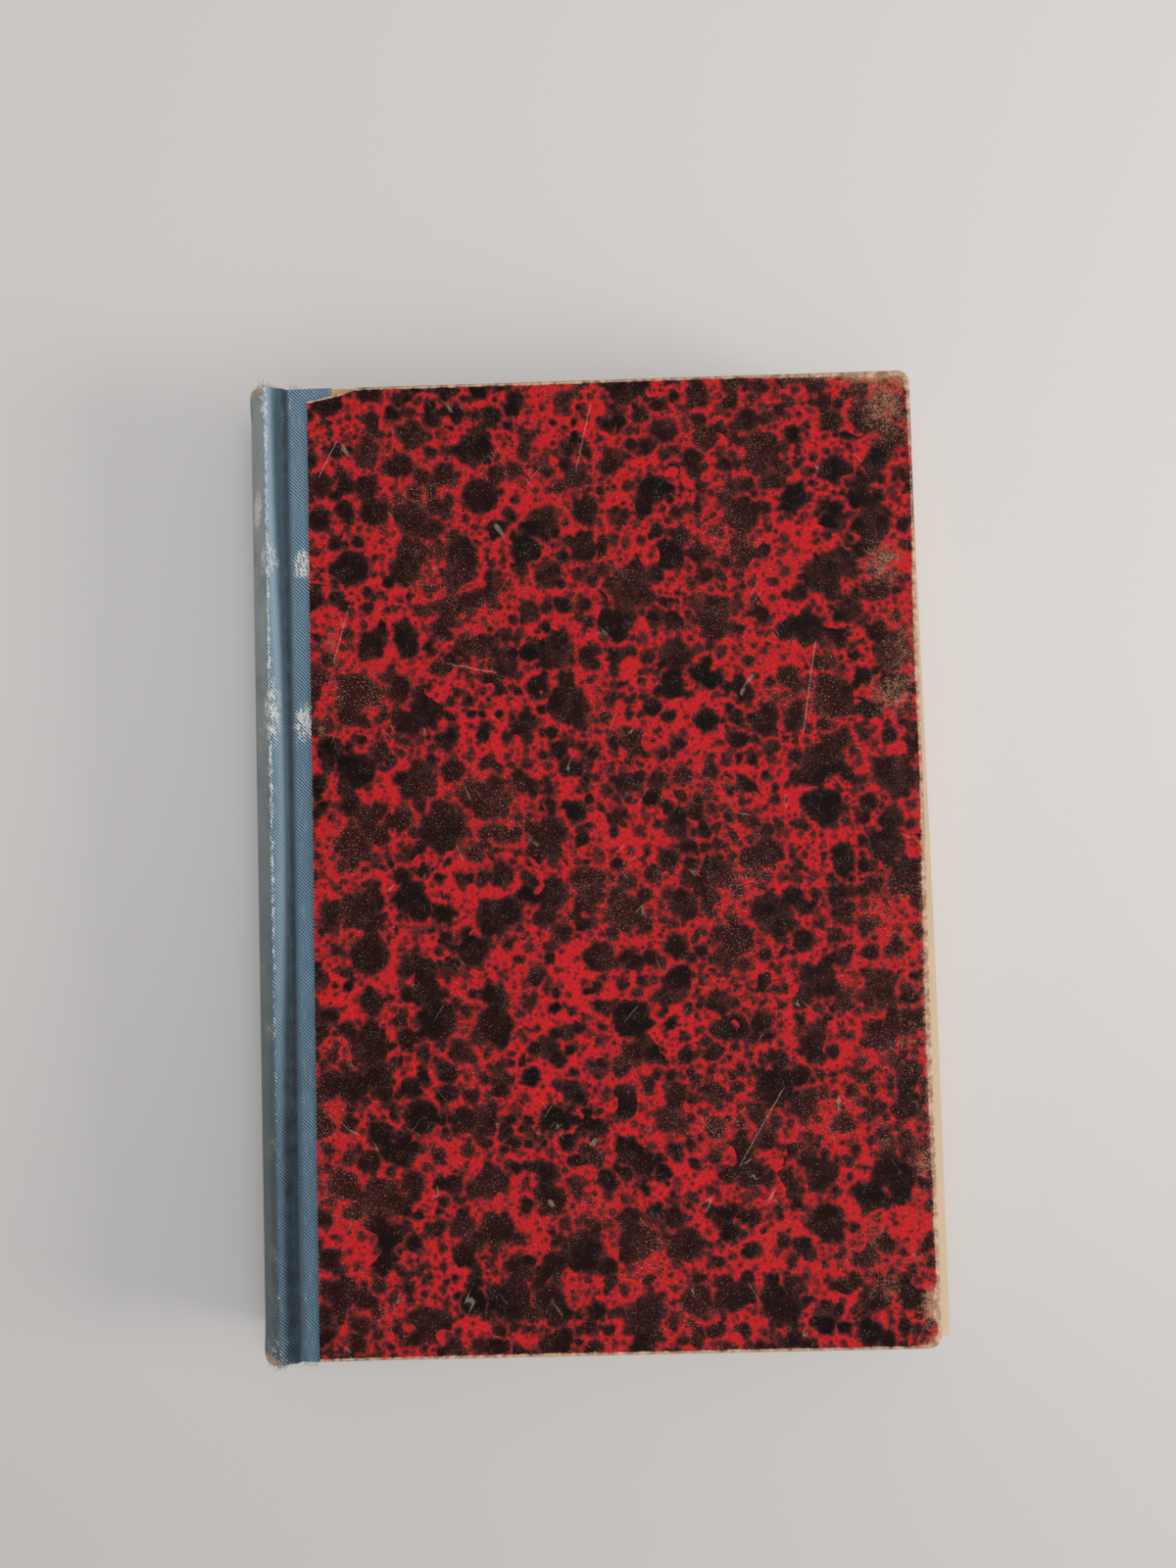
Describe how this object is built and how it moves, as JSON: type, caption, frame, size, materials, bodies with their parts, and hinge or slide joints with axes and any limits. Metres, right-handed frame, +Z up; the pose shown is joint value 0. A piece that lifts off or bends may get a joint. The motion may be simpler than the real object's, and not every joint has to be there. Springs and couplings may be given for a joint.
{
  "type": "hardback book",
  "caption": "Old quarter-bound hardback book with a rounded blue twill cloth spine, red and black sprinkled paper sides and hinged covers, worn at its edges and corners.",
  "frame": {"origin": "under the middle of the closed book, on the surface it lies on", "axes": "+X from the spine to the fore-edge, +Y from the tail to the head, +Z up through the front cover"},
  "size_m": [0.1364, 0.1906, 0.021],
  "materials": {
    "pages": "aged, uncoated",
    "endpaper": "aged, uncoated",
    "gauze": "matt",
    "spine_card": "matt",
    "twill_cloth": "matt, worn",
    "strawboard": "matt",
    "sprinkled_paper": "matt, rubbed"
  },
  "bodies": {
    "book_block": {"text_block": "pages", "front_flyleaf": "endpaper", "back_flyleaf": "endpaper", "spine_mull": "gauze", "spine_inlay": "spine_card", "spine_cloth": "twill_cloth"},
    "front_cover": {"front_board": "strawboard", "front_cloth": "twill_cloth", "front_cover_paper": "sprinkled_paper", "front_pastedown": "endpaper"},
    "back_cover": {"back_board": "strawboard", "back_cloth": "twill_cloth", "back_cover_paper": "sprinkled_paper", "back_pastedown": "endpaper"}
  },
  "joints": [
    {"name": "front_cover_hinge", "type": "hinge", "parent": "book_block", "child": "front_cover", "pos_m": [-0.06, 0, 0.021], "axis": [0, -1, 0], "range_deg": [0, 180]},
    {"name": "back_cover_hinge", "type": "hinge", "parent": "book_block", "child": "back_cover", "pos_m": [-0.057, 0, 0], "axis": [0, 1, 0], "range_deg": [0, 180]}
  ]
}
